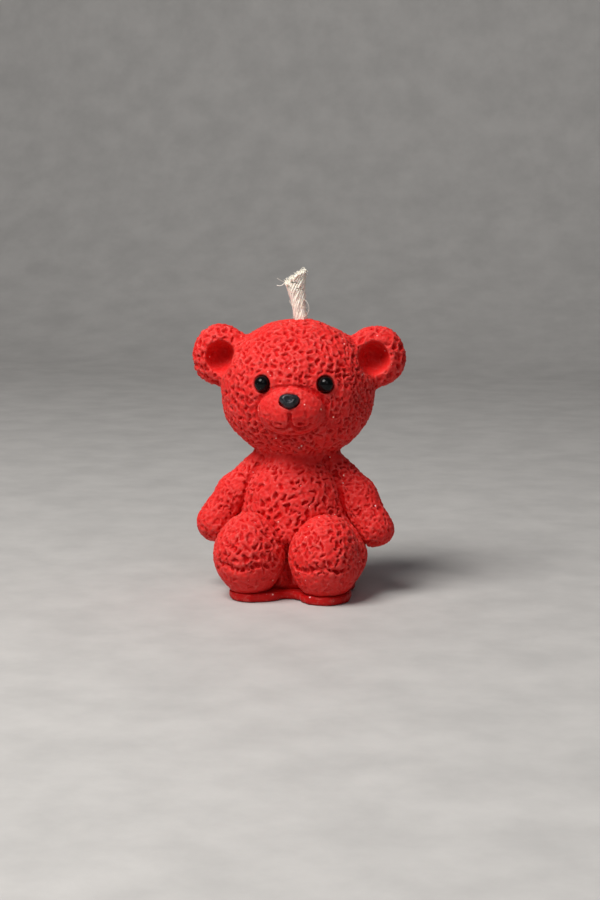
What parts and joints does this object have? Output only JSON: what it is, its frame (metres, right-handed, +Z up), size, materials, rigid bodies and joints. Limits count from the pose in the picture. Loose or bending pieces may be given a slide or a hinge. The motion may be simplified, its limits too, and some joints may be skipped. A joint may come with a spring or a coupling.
{
  "type": "teddy bear candle",
  "caption": "Small seated teddy bear cast in red wax with a curly moulded coat, a cotton wick in the crown, and black button eyes and nose.",
  "frame": {"origin": "on the wick's axis, in the plane of the flat foot that the candle stands on", "axes": "+Z up along the wick, the bear looks along -Y, +X is on the right of someone who faces it"},
  "size_m": [0.0508, 0.0376, 0.0757],
  "materials": {
    "red_wax": "soft satin, slightly translucent",
    "red_wax_foot": "smooth satin",
    "cotton_wick": "matt, twisted yarns",
    "black_button": "high gloss"
  },
  "bodies": {
    "root": {"wax_body": "red_wax", "base_pour": "red_wax_foot", "wick": "cotton_wick", "left_eye_button": "black_button", "right_eye_button": "black_button", "nose_button": "black_button"}
  },
  "joints": []
}
